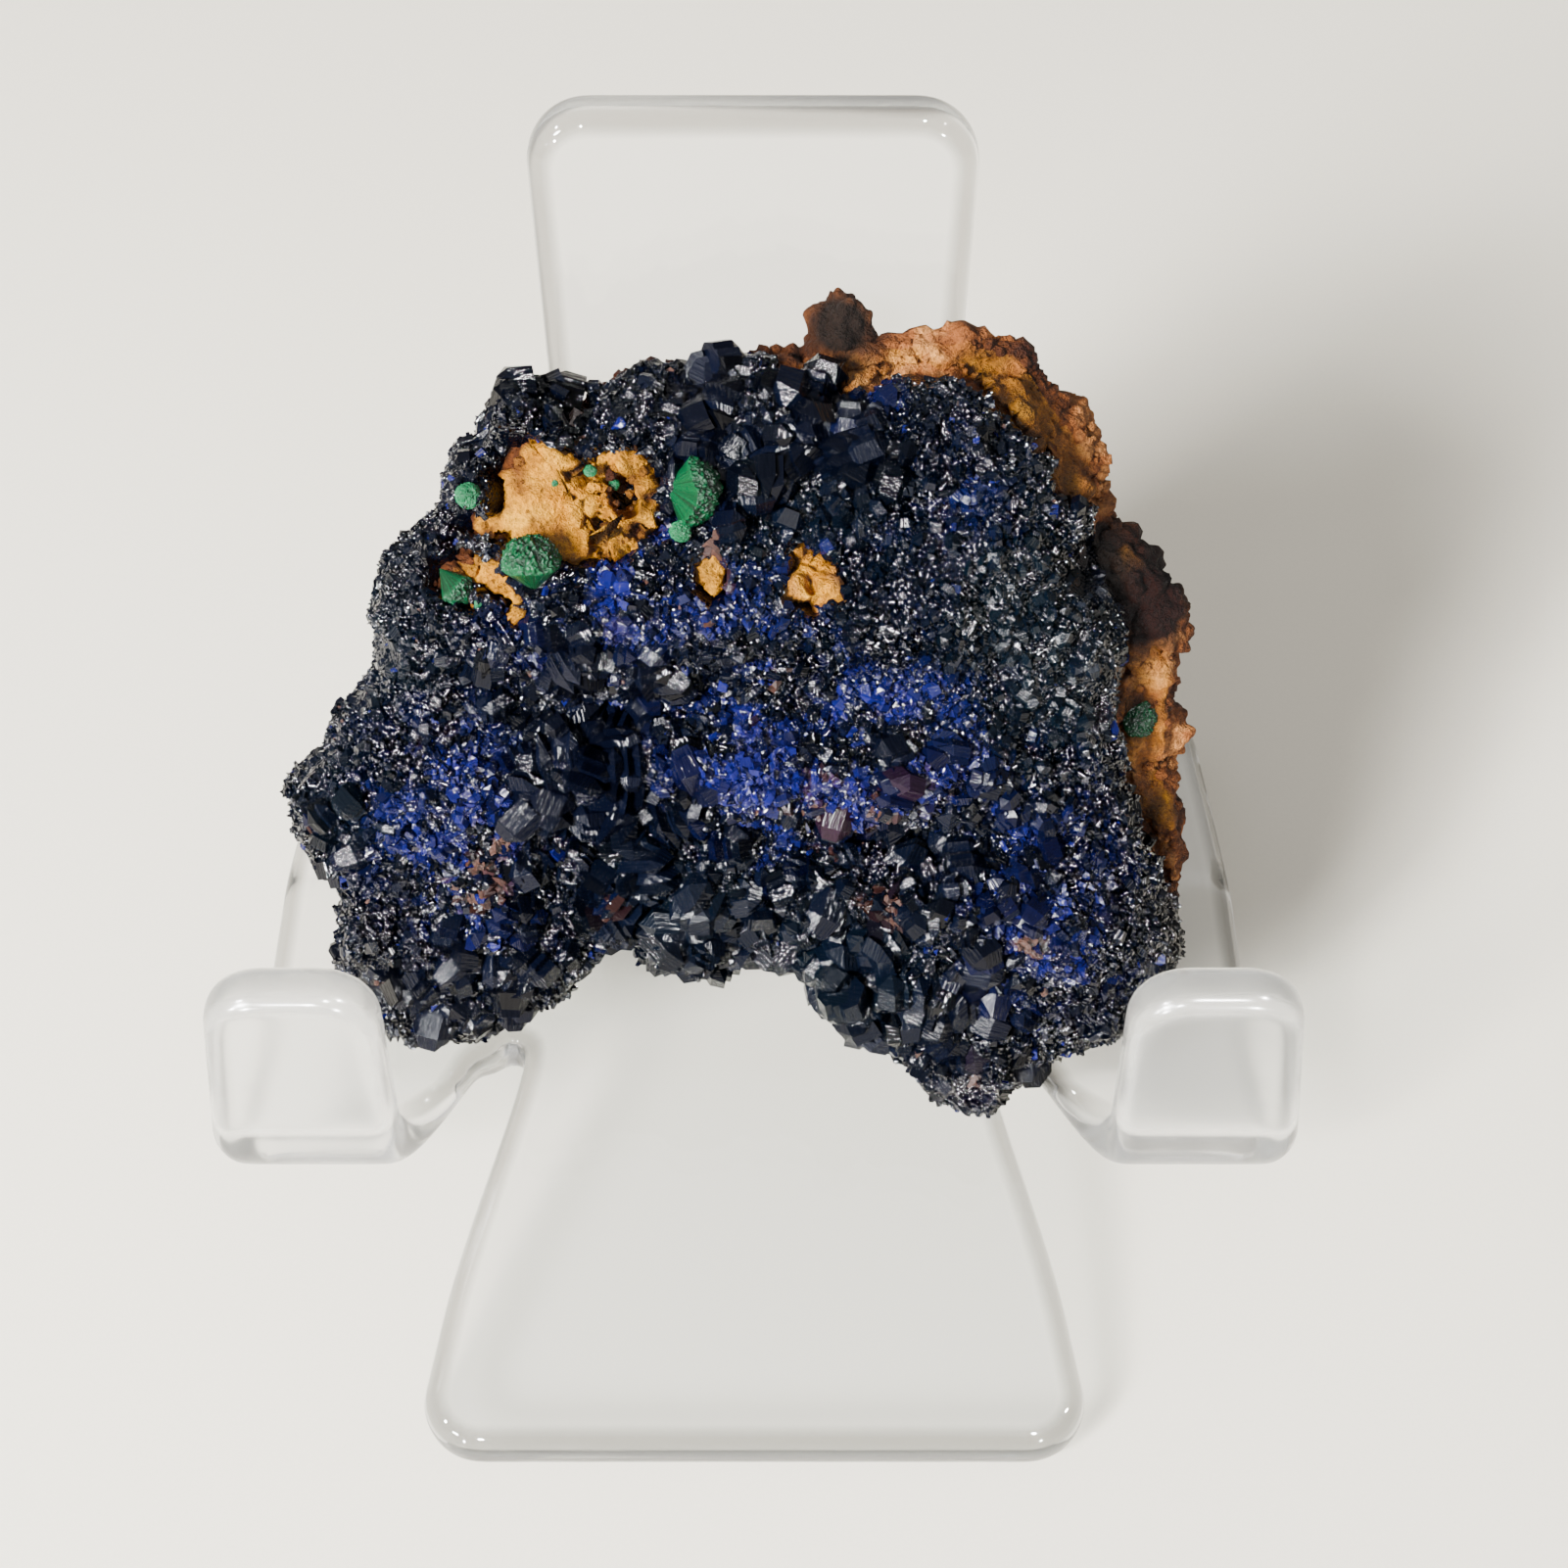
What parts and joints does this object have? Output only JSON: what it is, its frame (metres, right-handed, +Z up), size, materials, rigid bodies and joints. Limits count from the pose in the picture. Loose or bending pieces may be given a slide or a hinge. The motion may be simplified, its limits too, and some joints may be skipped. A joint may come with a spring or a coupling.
{
  "type": "mineral specimen on easel",
  "caption": "Azurite crystal crust on brown limonite rock with green malachite tufts, leaning on a clear one-piece bent easel with two front hooks.",
  "frame": {"origin": "on the table, under the middle of the whole object's bounding box", "axes": "+Z up, -Y towards the front, where the hooks and the front foot are, +X to the viewer's right"},
  "size_m": [0.0604, 0.0538, 0.0542],
  "materials": {
    "clear_acrylic": "clear cast sheet with polished, rounded edges",
    "azurite": "glassy dark blue crystals",
    "limonite": "dull, crumbly and pitted",
    "malachite": "silky radiating fibres"
  },
  "bodies": {
    "root": {"easel_stand": "clear_acrylic", "azurite_crust": "azurite", "limonite_matrix": "limonite", "malachite_tuft_1": "malachite", "malachite_tuft_2": "malachite", "malachite_tuft_3": "malachite", "malachite_tuft_4": "malachite", "malachite_tuft_5": "malachite", "malachite_tuft_6": "malachite"}
  },
  "joints": []
}
